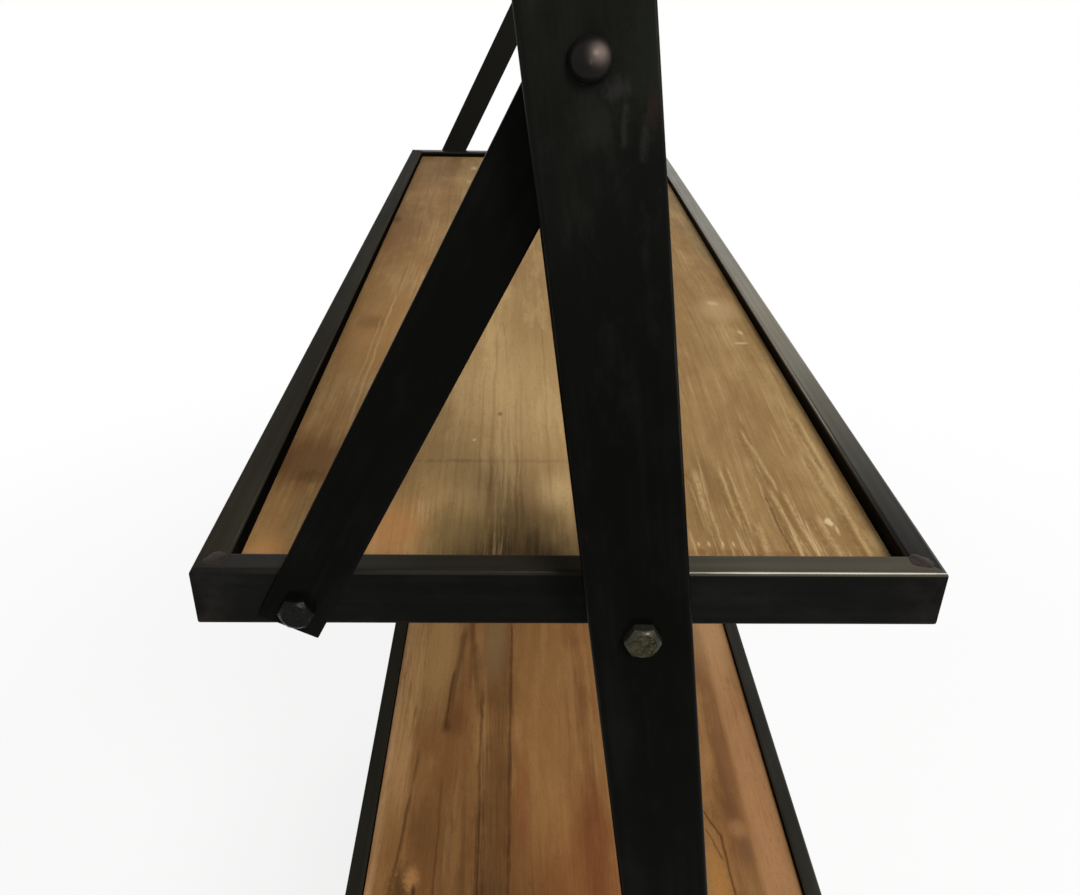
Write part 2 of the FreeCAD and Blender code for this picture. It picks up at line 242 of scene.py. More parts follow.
class Shading:
    """A node tree written as expressions."""

    def __init__(self, tree):
        self.tree = tree

    def node(self, kind, settings=None, inputs=None, output=0):
        """Add a node: its settings first, then the values or links of its sockets."""
        made = self.tree.nodes.new(kind)
        for key, value in (settings or {}).items():
            setattr(made, key, value)
        for key, value in (inputs or {}).items():
            self.feed(made.inputs[key], value)
        return Value(self, made.outputs[output])

    def feed(self, socket, value):
        """Link a value to a socket, or set the socket to a number, vector or colour."""
        if isinstance(value, Value):
            self.tree.links.new(value.socket, socket)
        elif socket.type == "RGBA":
            socket.default_value = (*value[:3], 1)
        else:
            socket.default_value = value

    def math(self, operation, *values):
        return self.node("ShaderNodeMath", {"operation": operation}, dict(enumerate(values)))

    def place(self):
        """Where a point lies on its object."""
        return self.node("ShaderNodeTexCoord", output="Object")

    def layer(self, name, output="Fac"):
        """A layer stored on the piece's mesh."""
        return self.node("ShaderNodeAttribute", {"attribute_name": name}, output=output)

    def split(self, place):
        """The X, Y and Z of a place."""
        split = self.node("ShaderNodeSeparateXYZ", None, {0: place})
        return [Value(self, socket) for socket in split.socket.node.outputs]

    def noise(self, place, scale, detail, rough, shift=0.0):
        """Noise from 0 to 1. A scale of three numbers, in waves per metre, stretches it."""
        mapping = {"Vector": place, "Location": (shift,) * 3, "Scale": scale}
        spot = self.node("ShaderNodeMapping", None, mapping)
        waves = {"Vector": spot, "Scale": 1.0, "Detail": detail, "Roughness": rough}
        return self.node("ShaderNodeTexNoise", None, waves)

    def step(self, value, low, high):
        """Smooth step from 0 at low to 1 at high."""
        settings = {"interpolation_type": "SMOOTHSTEP"}
        return self.node("ShaderNodeMapRange", settings, {"Value": value, "From Min": low, "From Max": high})

    def mix(self, share, first, second):
        """Colour between two colours."""
        return self.node("ShaderNodeMix", {"data_type": "RGBA"}, {0: share, 6: first, 7: second}, output=2)

    def stain(self, tone, *stains):
        """A tone with stains on it: each a value, where it starts and fills, its share and its colour."""
        for value, low, high, share, colour in stains:
            tone = self.mix(self.step(value, low, high) * share, tone, colour)
        return tone

    def bump(self, height, depth, strength):
        """Surface normal from a height."""
        inputs = {"Strength": strength, "Distance": depth, "Height": height}
        return self.node("ShaderNodeBump", None, inputs)

    def facing(self):
        """The X, Y and Z of the way that a surface faces."""
        return self.split(self.node("ShaderNodeNewGeometry", output="Normal"))


class Finish(Shading):
    """Node tree of one material, which ends in its surface shader."""

    def __init__(self, name):
        self.material = bpy.data.materials.new(name)
        self.material.use_nodes = True
        super().__init__(self.material.node_tree)
        self.surface = self.tree.nodes["Principled BSDF"]

    def set(self, **inputs):
        """Feed the surface shader: words joined by underscores name its sockets."""
        names = {socket.name.lower().replace(" ", "_"): socket for socket in self.surface.inputs}
        for name, value in inputs.items():
            self.feed(names[name], value)


def blackened_steel(colours, name, marks=()):
    """Satin black steel of the bars: rolled streaks, tops rubbed and painted lighter, bare edges that also
    paint a highlight, a grey veil that paints light on the right straps, brown tint at the mitres.

    Marks lie on the left mast's outer face, by height and depth.
    """
    finish = Finish(name)
    place = finish.layer("place", "Vector")
    edge, seam, rub_and_light, sheen, dust_and_light_layer = (finish.layer(layer) for layer in BAR_LAYERS)
    dust_and_light = finish.step(dust_and_light_layer, 0.63, 0.74)
    # Grey veil: a little on the masts' tops, and in full the painted light on the right end's straps
    dust_and_light_veil = dust_and_light * 0.3 + finish.step(dust_and_light_layer, 1.0, 2.0) * 0.7
    cloud = finish.noise(place, (14, 30, 30), 5, 0.6)
    streak = finish.noise(place, (5, 260, 260), 4, 0.6, 3.1)
    grit = finish.noise(place, (900, 900, 900), 2, 0.5)
    chafe = finish.noise(place, (18, 150, 150), 5, 0.65, 7.7)
    thin = finish.step(cloud * 0.7 + streak * 0.35, 0.48, 0.8)
    tone = finish.mix(thin * (dust_and_light * 0.6 + 0.35), colours.steel, colours.steel_worn)
    smudge = finish.step(finish.noise(place, (35, 80, 80), 6, 0.68, 9.2), 0.5, 0.7)
    tone = finish.mix(smudge * (dust_and_light * 0.6 + sheen * 0.4), tone, colours.steel_dusty)
    tone = finish.mix(dust_and_light_veil, tone, colours.steel_dusty)
    if marks:
        end, depth, up = finish.split(finish.place())
        face = -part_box("left_mast")[0].x
        outer_face = finish.step(0 - end, *(face - below for below in MARK_DEPTHS))
        ragged = finish.noise(place, (300, 600, 600), 5, 0.65, 2.6)
        for mark in marks:
            cover = mark.cover(finish, up, depth, ragged) * outer_face
            tone = finish.mix(cover * mark.strength, tone, mark.tone)
    # Rail tops rubbed by hands, and painted lighter where the upper shelves' rails reflect the light
    tone = finish.mix(rub_and_light * (streak * 0.8 + 0.6), tone, colours.steel_rubbed_and_lit)
    near_seam = 1 - finish.step(seam, 0.0, HEAT_REACH)
    heat = near_seam * finish.step(finish.noise(place, (90, 90, 90), 4, 0.6, 1.3), 0.35, 0.7)
    tone = finish.mix(heat * 0.45, tone, colours.heat)
    rust = finish.step(finish.noise(place, (30, 60, 60), 6, 0.7, 12.4), 0.64, 0.74)
    tone = finish.mix(rust * (dust_and_light * 0.5 + 0.12), tone, colours.rust)
    # Bare steel along worn edges and scuffs; on the lit, rubbed rail tops it also paints the highlight along
    # their edges
    crest = finish.step(edge, 0.75, 1.0)
    handled_and_lit = finish.step(rub_and_light, 0.05, 0.3)
    bare_and_highlight = finish.step(crest * (handled_and_lit * 0.3 + 0.48) + chafe * 0.6, 0.74, 0.98)
    scuff = finish.step(finish.noise(place, (60, 330, 330), 6, 0.7, 5.9), 0.72, 0.82)
    bare_and_highlight = finish.math("MAXIMUM", bare_and_highlight * (handled_and_lit * 0.5 + sheen * 0.35), scuff * 0.2)
    finish.set(
        base_color=finish.mix(bare_and_highlight, tone, colours.steel_bare),
        metallic=bare_and_highlight * 0.7,
        roughness=0.5 + (streak - 0.5) * 0.2,
        specular_ior_level=0.0,
        coat_weight=sheen * (cloud * 0.9 + streak * 0.6 + 0.25),
        coat_ior=STEEL_COAT_IOR,
        coat_roughness=STEEL_COAT_ROUGHNESS,
        normal=finish.bump(streak * 0.5 + grit * 0.25 + cloud * 0.6, 0.00012, 0.6),
    )
    return finish.material


def ground_weld(colours):
    """Weld metal: grey-brown, ground smooth in patches."""
    finish = Finish("ground_weld")
    place = finish.place()
    cloud = finish.noise(place, (160, 160, 160), 5, 0.6)
    scratch = finish.noise(place, (1500, 300, 300), 3, 0.6)
    tone = finish.mix(finish.step(cloud, 0.35, 0.65), colours.heat, colours.weld)
    finish.set(
        base_color=tone,
        metallic=0.3,
        roughness=0.5 + (scratch - 0.5) * 0.3,
        specular_ior_level=0.08,
        normal=finish.bump(cloud + scratch * 0.4, 0.0002, 0.6),
    )
    return finish.material


def aged_bolt(name, clean, side, grime, bright):
    """Plain bolt steel gone dull, dirty in the hollows and rubbed bright in spots."""
    finish = Finish(name)
    facing_end, _, _ = finish.facing()
    on_face = finish.step(abs(facing_end), 0.86, 0.97)
    place = finish.place()
    cloud = finish.noise(place, (260, 260, 260), 6, 0.65)
    pits = finish.noise(place, (900, 900, 900), 4, 0.65, 4.2)
    dirt = finish.step(cloud * 0.6 + pits * 0.6, 0.52, 0.72)
    spot = finish.step(1 - pits, 0.58, 0.72)
    tone = finish.mix(spot * 0.6, finish.mix(on_face, side, clean), bright)
    finish.set(
        base_color=finish.mix(dirt * (on_face * 0.5 + 0.5), tone, grime),
        metallic=0.45,
        roughness=0.28 + dirt * 0.25 + (pits - 0.5) * 0.2,
        specular_ior_level=0.1,
        normal=finish.bump(pits * 0.8 + cloud, 0.0002, 0.8),
    )
    return finish.material


def bronzed_steel(colours):
    """Brown burnished steel of the dome heads, their washers and nuts, with a painted highlight on the upper
    front of each dome.
    """
    finish = Finish("bronzed_steel")
    place = finish.place()
    cloud = finish.noise(place, (200, 200, 200), 5, 0.6)
    grit = finish.noise(place, (1200, 1200, 1200), 2, 0.5)
    facing_end, facing_back, facing_up = finish.facing()
    # Painted highlight: faces that look up and to the front, at either end, are painted light bronze
    toward_highlight = abs(facing_end) * 0.88 - facing_back * 0.35 + facing_up * 0.33
    crown = finish.math("MAXIMUM", toward_highlight * 2 - 1 + (cloud - 0.5) * 0.15, 0.0) ** 6
    finish.set(
        base_color=finish.mix(crown, colours.bronze, colours.bronze_highlight),
        roughness=0.27 + (cloud - 0.5) * 0.15,
        specular_ior_level=0.06,
        normal=finish.bump(cloud + grit * 0.3, 0.00015, 0.6),
    )
    return finish.material


def foot_plastic(colours):
    """Moulded matte plastic with a fine grain and scuffed patches."""
    finish = Finish("foot_plastic")
    place = finish.place()
    grain = finish.noise(place, (2200, 2200, 2200), 2, 0.5)
    scuff = finish.step(finish.noise(place, (140, 140, 140), 5, 0.65), 0.52, 0.75)
    finish.set(
        base_color=finish.mix(scuff * 0.6, colours.plastic, colours.steel_worn),
        roughness=0.55 + scuff * 0.2,
        specular_ior_level=0.35,
        normal=finish.bump(grain, 0.00008, 0.6),
    )
    return finish.material


# How grain frays the sides of a streak, where its ends begin to fade, and where grain breaks it up
STREAK_FRAY = (1.6, 1.2)
STREAK_END = 0.7
STREAK_BREAKS = (0.25, 0.6)

# How grain frays a patch, and how soon the patch is full
PATCH_FRAY = 1.2
PATCH_FULL = 0.8

# Hollow beside a rubbed grain line
HOLLOW_GAP = 0.0012
HOLLOW_WIDTH = 0.0020


class Streak(NamedTuple):
    """A narrow mark or a band from one place to another."""

    start: tuple
    end: tuple
    width: float
    tone: tuple
    strength: float
    soft: float = 0.8
    fine: bool = False

    def cover(self, finish, along, across, grain):
        """1 along the middle of the mark, fading out at its sides and ends."""
        reach = Vector(self.end) - Vector(self.start)
        half = reach.length / 2
        toward = reach.normalized()
        from_x, from_y = along - self.start[0], across - self.start[1]
        on_line = from_x * toward.x + from_y * toward.y - half
        off_line = (from_y * toward.x - from_x * toward.y) * (STREAK_FRAY[0] - grain * STREAK_FRAY[1])
        body = 1 - finish.step(abs(off_line), self.width * (1 - self.soft), self.width)
        body = body * (1 - finish.step(abs(on_line), half * STREAK_END, half))
        return body * finish.step(grain, *STREAK_BREAKS)


class Patch(NamedTuple):
    """A stain, a scuff, a worn place, a painted shadow or a painted pale patch, with a ragged edge."""

    centre: tuple
    reach: tuple
    tone: tuple
    strength: float
    fine: bool = False

    def cover(self, finish, along, across, grain):
        """1 in the middle of the patch, breaking up towards its edge."""
        from_x = (along - self.centre[0]) / self.reach[0]
        from_y = (across - self.centre[1]) / self.reach[1]
        near = 1 - (from_x * from_x + from_y * from_y) ** 0.5
        return finish.step(near + (grain - 0.5) * PATCH_FRAY, 0.0, PATCH_FULL)


class Fir(NamedTuple):
    """Grain, tones and marks of one fir board."""

    light: tuple
    dark: tuple
    line: tuple
    pale: tuple
    heart: tuple
    heart_depth: float
    heart_slope: float
    ring: float
    wave: float
    line_share: float
    band_share: float
    worn: tuple
    marks: tuple


TAN = srgb(174, 144, 98)
OLIVE = srgb(146, 116, 74)
OLIVE_DARK = srgb(78, 62, 33)
BROWN = srgb(116, 88, 52)
ORANGE = srgb(178, 128, 78)
HONEY = srgb(142, 104, 62)
HONEY_PALE = srgb(164, 126, 80)
ROSE = srgb(160, 118, 80)
RED_BROWN = srgb(112, 70, 36)
UMBER = srgb(84, 56, 30)
LINE = srgb(62, 38, 18)
RED_CRACK = srgb(70, 36, 14)
DARK = srgb(46, 31, 17)
# Colour of the painted shadow of the mast on the near end of the upper board
MAST_SHADOW = srgb(38, 28, 15)
PALE = srgb(196, 166, 118)
CREAM = srgb(214, 192, 150)

MAST_MARKS = (
    Patch((1.152, 0.0500), (0.030, 0.012), srgb(27, 29, 23), 0.5),
    Patch((1.133, 0.0640), (0.012, 0.010), srgb(28, 29, 25), 0.4),
    Patch((1.142, 0.0575), (0.0045, 0.0050), srgb(40, 38, 37), 0.5),
    Patch((1.137, 0.0470), (0.0090, 0.0032), srgb(36, 25, 24), 0.5),
    Streak((1.139, 0.0548), (1.125, 0.0550), 0.0018, srgb(40, 41, 38), 0.35, 1.0),
    Streak((1.136, 0.0486), (1.121, 0.0488), 0.0020, srgb(41, 42, 39), 0.35, 1.0),
)


def worn_lines(*lines):
    """Marks of pale rubbed grain lines, each with a brown hollow beside it."""
    marks = []
    for start, end, width in lines:
        beside = width + HOLLOW_GAP
        hollow = ((start[0], start[1] + beside), (end[0], end[1] + beside))
        marks.append(Streak(*hollow, HOLLOW_WIDTH, BROWN, 0.7, 0.8, True))
        marks.append(Streak(start, end, width, PALE, 0.5, 1.0, True))
    return tuple(marks)


SHELF_2_MARKS = (
    # Pale patch at the far back and pale strip along the back rail: painted light that lifts the shade of the
    # shelf above and of the rail
    Patch((0.04, 0.168), (0.15, 0.036), srgb(164, 129, 82), 0.85),
    Streak((0.36, 0.1915), (-0.23, 0.1915), 0.0150, srgb(184, 144, 96), 0.65, 0.5),
    Patch((-0.30, 0.03), (0.20, 0.10), srgb(124, 74, 40), 0.55),
    Streak((0.20, 0.058), (-0.24, 0.058), 0.032, srgb(138, 100, 56), 0.6, 0.5),
    Streak((0.10, 0.024), (-0.42, 0.020), 0.008, srgb(104, 66, 38), 0.45, 0.6),
    Streak((0.20, 0.104), (-0.40, 0.102), 0.013, srgb(94, 66, 36), 0.75, 0.4),
    Patch((0.05, 0.108), (0.10, 0.018), srgb(134, 108, 74), 0.6),
    Streak((0.12, 0.0905), (-0.34, 0.0910), 0.0026, LINE, 0.75),
    Streak((0.12, 0.139), (-0.08, 0.119), 0.0040, UMBER, 0.55),
    Streak((0.00, 0.119), (-0.42, 0.1130), 0.0026, LINE, 0.75),
    Streak((-0.08, 0.1150), (-0.42, 0.1080), 0.0016, LINE, 0.6),
    Streak((0.07, 0.139), (-0.095, 0.152), 0.0050, UMBER, 0.7),
    Streak((0.00, 0.148), (-0.092, 0.152), 0.0022, LINE, 0.75),
    Patch((-0.075, 0.142), (0.034, 0.016), srgb(104, 68, 36), 0.7),
    Streak((-0.10, 0.172), (-0.36, 0.189), 0.0022, LINE, 0.65),
    Streak((-0.13, 0.150), (-0.36, 0.148), 0.0020, LINE, 0.5),
    Patch((-0.20, 0.163), (0.06, 0.016), srgb(104, 70, 38), 0.6),
    Patch((-0.255, 0.1730), (0.030, 0.015), LINE, 0.7, True),
    Patch((-0.247, 0.1670), (0.017, 0.009), srgb(176, 128, 78), 0.75, True),
    Patch((-0.257, 0.1640), (0.009, 0.003), LINE, 0.8, True),
    Streak((0.30, -0.136), (-0.45, -0.134), 0.030, ROSE, 0.9, 0.3),
    Streak((0.25, -0.106), (-0.42, -0.098), 0.014, srgb(104, 70, 42), 0.65, 0.6),
    Patch((-0.135, -0.0985), (0.040, 0.008), srgb(92, 60, 36), 0.5),
    Patch((-0.175, -0.1005), (0.022, 0.008), srgb(94, 62, 40), 0.5),
    Patch((-0.200, -0.1010), (0.013, 0.012), srgb(156, 114, 76), 0.5),
    Patch((-0.222, -0.1030), (0.022, 0.009), srgb(98, 68, 46), 0.5),
    Patch((0.060, -0.122), (0.12, 0.035), srgb(178, 142, 100), 0.5),
    # Pale strip along the back edge: painted light against the shade of the rail's inner wall
    Streak((0.20, 0.1995), (-0.44, 0.1995), 0.0060, srgb(196, 154, 112), 0.6, 1.0),
    Patch((-0.218, 0.021), (0.10, 0.024), srgb(98, 54, 28), 0.5),
    Patch((-0.180, 0.079), (0.10, 0.012), srgb(120, 66, 40), 0.45),
    Patch((-0.083, 0.1505), (0.012, 0.006), LINE, 0.5, True),
    Patch((-0.10, -0.104), (0.10, 0.010), srgb(118, 80, 52), 0.6),
    Patch((-0.26, -0.076), (0.06, 0.012), srgb(164, 114, 58), 0.6),
    Streak((-0.178, -0.0735), (-0.212, -0.0868), 0.0015, RED_CRACK, 0.75, 1.0),
    Streak((-0.200, -0.0850), (-0.270, -0.0872), 0.0017, RED_CRACK, 0.75, 1.0),
    Streak((-0.196, -0.0735), (-0.232, -0.0836), 0.0014, RED_CRACK, 0.65, 1.0),
)

SHELF_3_MARKS = (
    Streak((0.60, 0.19), (-0.60, 0.18), 0.045, srgb(138, 100, 58), 0.7, 0.5),
    Streak((0.60, -0.03), (-0.60, -0.03), 0.060, srgb(128, 97, 58), 0.7, 0.5),
    Patch((0.10, 0.190), (0.16, 0.030), srgb(112, 80, 48), 0.5),
    Patch((-0.15, 0.175), (0.10, 0.030), srgb(164, 122, 72), 0.5),
    Patch((-0.325, 0.190), (0.04, 0.05), srgb(98, 68, 38), 0.8),
    Patch((-0.342, 0.185), (0.010, 0.012), UMBER, 0.5, True),
    Patch((-0.355, 0.142), (0.045, 0.020), BROWN, 0.6),
    # Near end by the mast: a dark olive stain that also paints shade, and the mast's painted shadow, darkest
    # against the mast
    Patch((-0.398, 0.104), (0.044, 0.050), OLIVE_DARK, 0.75),
    Patch((-0.412, 0.086), (0.030, 0.046), MAST_SHADOW, 0.8),
    Patch((-0.356, 0.067), (0.026, 0.014), PALE, 0.75),
    Patch((-0.390, 0.141), (0.036, 0.022), srgb(158, 110, 64), 0.7),
    Patch((-0.134, 0.186), (0.018, 0.014), srgb(110, 78, 44), 0.5),
    Patch((0.132, 0.199), (0.016, 0.006), UMBER, 0.6, True),
    Streak((-0.06, 0.1752), (-0.30, 0.1766), 0.0013, PALE, 0.5, 1.0),
    Streak((-0.12, 0.1795), (-0.24, 0.1800), 0.0009, PALE, 0.4, 1.0),
    Patch((-0.375, 0.172), (0.040, 0.020), srgb(112, 88, 50), 0.6),
    Patch((-0.420, 0.190), (0.035, 0.020), ORANGE, 0.7),
    Streak((-0.3260, 0.150), (-0.3245, 0.000), 0.0026, OLIVE_DARK, 0.3, 0.8, True),
    Streak((-0.15, 0.0990), (-0.42, 0.0985), 0.0014, BROWN, 0.6),
    Streak((-0.20, 0.0840), (-0.42, 0.0830), 0.0014, BROWN, 0.6),
    Streak((-0.12, 0.0700), (-0.40, 0.0690), 0.0014, BROWN, 0.5),
    Streak((-0.12, 0.0960), (-0.26, 0.0895), 0.0012, BROWN, 0.5),
    Streak((-0.20, 0.1055), (-0.37, 0.1036), 0.0012, BROWN, 0.5),
    Streak((-0.24, 0.0866), (-0.40, 0.0852), 0.0010, UMBER, 0.45),
    Streak((-0.22, 0.0952), (-0.375, 0.0950), 0.0012, PALE, 0.5, 1.0),
    Streak((-0.24, 0.0915), (-0.375, 0.0912), 0.0010, PALE, 0.45, 1.0),
    Streak((0.42, -0.078), (-0.03, -0.076), 0.020, srgb(122, 113, 86), 0.55, 1.0),
    Patch((-0.25, 0.085), (0.14, 0.045), srgb(182, 154, 108), 0.4),
    Patch((0.36, 0.170), (0.10, 0.040), srgb(116, 90, 62), 0.5),
    Patch((0.357, 0.1375), (0.014, 0.005), CREAM, 0.6, True),
    Patch((0.290, 0.1400), (0.016, 0.004), PALE, 0.6, True),
    Streak((-0.316, -0.0060), (-0.372, -0.0110), 0.0060, BROWN, 0.55),
    Streak((-0.276, -0.0364), (-0.336, -0.0376), 0.0016, BROWN, 0.6),
    *worn_lines(
        ((-0.330, -0.0030), (-0.394, -0.0006), 0.0022),
        ((-0.328, -0.0150), (-0.388, -0.0158), 0.0016),
        ((-0.326, -0.0196), (-0.398, -0.0198), 0.0012),
        ((-0.286, -0.0350), (-0.360, -0.0402), 0.0014),
        ((-0.346, -0.0356), (-0.416, -0.0412), 0.0018),
        ((-0.350, -0.0420), (-0.416, -0.0454), 0.0016),
        ((-0.372, -0.0528), (-0.420, -0.0554), 0.0026),
        ((-0.310, -0.0650), (-0.420, -0.0682), 0.0020),
        ((-0.270, -0.0694), (-0.338, -0.0696), 0.0016),
        ((-0.380, -0.0242), (-0.418, -0.0228), 0.0020),
        ((-0.368, -0.0042), (-0.408, -0.0040), 0.0012),
    ),
    Streak((-0.352, -0.0324), (-0.412, -0.0340), 0.0010, DARK, 0.55, 0.8, True),
    Streak((-0.404, 0.016), (-0.407, -0.044), 0.0035, RED_BROWN, 0.5, 0.8, True),
    Patch((-0.395, -0.074), (0.012, 0.007), PALE, 0.5, True),
    *(
        Patch((-0.3985, y), (0.0028, 0.0009), CREAM, 0.5, True)
        for y in (0.0060, 0.0015, -0.0045, -0.0095)
    ),
    Patch((-0.102, -0.057), (0.036, 0.019), srgb(180, 152, 110), 0.6),
    Patch((-0.146, -0.064), (0.006, 0.003), CREAM, 0.5, True),
    Patch((-0.165, -0.061), (0.003, 0.007), CREAM, 0.5, True),
    Patch((-0.088, -0.055), (0.007, 0.006), CREAM, 0.35, True),
    Patch((-0.3805, -0.0565), (0.0050, 0.0024), CREAM, 0.85, True),
    Patch((-0.3870, -0.0585), (0.0060, 0.0013), CREAM, 0.5, True),
    Patch((-0.303, 0.108), (0.002, 0.0016), CREAM, 0.7, True),
    Patch((-0.272, 0.095), (0.004, 0.002), UMBER, 0.6, True),
)

FIR_BOARDS = {
    1: Fir(
        HONEY, BROWN, UMBER, TAN,
        heart=(0.2, -0.08), heart_depth=0.015, heart_slope=0.025, ring=0.008,
        wave=0.03, line_share=0.45, band_share=0.8,
        worn=(Patch((0.25, 0.05), (0.12, 0.06), PALE, 0.5),),
        marks=(
            Streak((0.3, -0.02), (-0.1, -0.026), 0.0014, LINE, 0.6),
            Patch((-0.3, 0.1), (0.12, 0.04), UMBER, 0.4),
        ),
    ),
    2: Fir(
        HONEY, RED_BROWN, UMBER, HONEY_PALE,
        heart=(0.15, 0.155), heart_depth=0.012, heart_slope=0.03, ring=0.014,
        wave=0.03, line_share=0.4, band_share=0.5,
        worn=(Patch((0.0, 0.190), (0.2, 0.030), srgb(172, 134, 86), 0.6),),
        marks=SHELF_2_MARKS,
    ),
    3: Fir(
        TAN, OLIVE, BROWN, PALE,
        heart=(0.0, 0.40), heart_depth=0.02, heart_slope=0.01, ring=0.0056,
        wave=0.02, line_share=0.2, band_share=0.75,
        worn=(
            Patch((-0.30, -0.03), (0.22, 0.09), PALE, 0.25),
            Patch((-0.415, -0.03), (0.11, 0.085), PALE, 0.5),
            Patch((-0.345, 0.092), (0.09, 0.016), PALE, 0.6),
        ),
        marks=SHELF_3_MARKS,
    ),
    4: Fir(
        TAN, RED_BROWN, BROWN, PALE,
        heart=(-0.1, 0.09), heart_depth=0.02, heart_slope=0.02, ring=0.0065,
        wave=0.02, line_share=0.35, band_share=0.6,
        worn=(Patch((0.3, 0.03), (0.12, 0.05), PALE, 0.6),),
        marks=(Patch((-0.2, 0.02), (0.14, 0.03), UMBER, 0.35),),
    ),
}


# Step in the grain's pattern from board to board, and how far growth lines and marks stray
BOARD_SHIFT = 1.7
GRAIN_WOBBLE = 0.0012
RING_WANDER = 3.6
MARK_WOBBLE = 0.004


def fir(shelf):
    """Stained and worn fir: growth lines round a heart, fibres, rubbed pale grain and marks, some of which
    are painted shade and painted light.
    """
    board = FIR_BOARDS[shelf]
    finish = Finish(f"fir_{shelf}")
    place = finish.place()
    shift = shelf * BOARD_SHIFT
    along, across, height = finish.split(place)
    drift = finish.noise(place, (2.2, 9, 9), 3, 0.5, shift) - 0.5
    wobble = finish.noise(place, (28, 60, 60), 3, 0.6, shift + 6.0) - 0.5
    grain_y = across + drift * board.wave + wobble * GRAIN_WOBBLE
    flow = finish.node("ShaderNodeCombineXYZ", None, {0: along, 1: grain_y, 2: height})
    wander = finish.noise(flow, (1.1, 60, 60), 2, 0.5, shift + 3.0) - 0.5
    from_heart = grain_y - board.heart[1]
    depth = (along - board.heart[0]) * board.heart_slope + board.heart_depth
    radius = (from_heart * from_heart + depth * depth) ** 0.5
    ring = finish.math("FRACT", radius / board.ring + wander * RING_WANDER)
    line = finish.step(ring, 0.2, 0.92) * (1 - finish.step(ring, 0.93, 1.0))
    broad = finish.noise(flow, (0.8, 26, 26), 2, 0.45, shift + 0.4)
    mottle = finish.noise(place, (17, 38, 38), 5, 0.62, shift + 1.1)
    medium = finish.noise(flow, (5, 150, 150), 4, 0.6, shift + 0.8)
    fine = finish.noise(flow, (14, 560, 560), 4, 0.62, shift)
    fibre = finish.noise(flow, (90, 1700, 1700), 2, 0.5, shift)
    speck = finish.noise(place, (330, 420, 420), 4, 0.65, shift)
    come = finish.step(finish.noise(place, (9, 20, 20), 3, 0.5, shift + 4.4), 0.32, 0.66)
    blotch = finish.noise(flow, (8, 62, 62), 5, 0.62, shift + 5.2)
    band = finish.step(broad * 0.65 + mottle * 0.35, 0.38, 0.6)
    tone = finish.mix(band * board.band_share, board.light, board.dark)
    tone = finish.mix(line * come * board.line_share, tone, board.line)
    tone = finish.stain(
        tone,
        (fine, 0.5, 0.75, come * 0.3 + 0.12, board.line),
        (1 - medium, 0.5, 0.72, 0.25, board.pale),
        (mottle, 0.48, 0.75, 0.35, board.line),
        (blotch, 0.5, 0.6, 0.3, board.dark),
        (1 - blotch, 0.54, 0.62, 0.25, board.pale),
    )
    weave = mottle * 0.55 + fine * 0.45
    shaken = across + wobble * MARK_WOBBLE
    for mark in board.marks:
        cover = mark.cover(finish, along, shaken, speck if mark.fine else weave)
        tone = finish.mix(cover * mark.strength, tone, mark.tone)
    worn_grain = finish.noise(flow, (14, 370, 370), 7, 0.7, shift + 2.2)
    rubbed = 0.0
    for worn in board.worn:
        place_worn = worn.cover(finish, along, across, medium)
        crest = place_worn * finish.step(worn_grain, 0.54, 0.64)
        hollow = place_worn * finish.step(1 - worn_grain, 0.5, 0.64)
        tone = finish.mix(hollow * worn.strength * 0.7, tone, board.line)
        tone = finish.mix(crest * worn.strength, tone, worn.tone)
        rubbed = crest + rubbed
    tone = finish.stain(
        tone,
        (speck, 0.54, 0.74, 0.32, board.line),
        (fibre, 0.54, 0.78, 0.3, board.line),
        (1 - speck, 0.6, 0.8, 0.15, board.pale),
    )
    finish.set(
        base_color=tone,
        roughness=0.7 + (medium - 0.5) * 0.2 - rubbed * 0.08,
        specular_ior_level=0.06,
        normal=finish.bump(fine * 0.5 + fibre * 0.3 + speck * 0.3 + rubbed * 0.5, 0.0004, 0.5),
    )
    return finish.material


def finish_piece(mesh, name, material, slot, *nodes):
    """Make an object of a mesh that stands for CAD nodes, shaded smooth up to its sharp edges."""
    for face in mesh.faces:
        face.smooth = True
    data = bpy.data.meshes.new(name)
    mesh.to_mesh(data)
    mesh.free()
    data.set_sharp_from_angle(angle=math.radians(SMOOTH_ANGLE))
    data.materials.append(material)
    piece = bpy.data.objects.new(name, data)
    bpy.context.scene.collection.objects.link(piece)
    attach(piece, BODY)
    if nodes:
        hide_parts(*nodes)
    return piece


def add_mesh(target, source):
    """Move one bmesh's geometry into another."""
    data = bpy.data.meshes.new("joined")
    source.to_mesh(data)
    source.free()
    target.from_mesh(data)
    bpy.data.meshes.remove(data)


def whole(mesh):
    """All the geometry of a bmesh."""
    return mesh.verts[:] + mesh.edges[:] + mesh.faces[:]


def open_edges(mesh):
    """The edges of a bmesh that only one face meets."""
    return [edge for edge in mesh.edges if edge.is_boundary]


def cut_off(mesh, point, outward):
    """Cut away what lies outside a plane and close the cut."""
    bmesh.ops.bisect_plane(mesh, geom=whole(mesh), plane_co=point, plane_no=outward, clear_outer=True)
    bmesh.ops.holes_fill(mesh, edges=open_edges(mesh), sides=0)


def round_edges(mesh, edges, radius, segments):
    """Round some edges of a bmesh."""
    bmesh.ops.bevel(
        mesh, geom=edges, offset=radius, segments=segments, profile=0.5, affect="EDGES", material=-1
    )


def turn_mesh(mesh, degrees, axis):
    """Turn a bmesh about an axis through the origin."""
    matrix = Matrix.Rotation(math.radians(degrees), 3, axis)
    bmesh.ops.rotate(mesh, cent=(0, 0, 0), matrix=matrix, verts=mesh.verts)


def pattern_shift(kind, index, shelf=0):
    """Where a bar starts in the steel's pattern, so that no two bars look alike."""
    start, per_shelf, per_bar = PATTERN_SHIFTS[kind]
    return start + shelf * per_shelf + index * per_bar


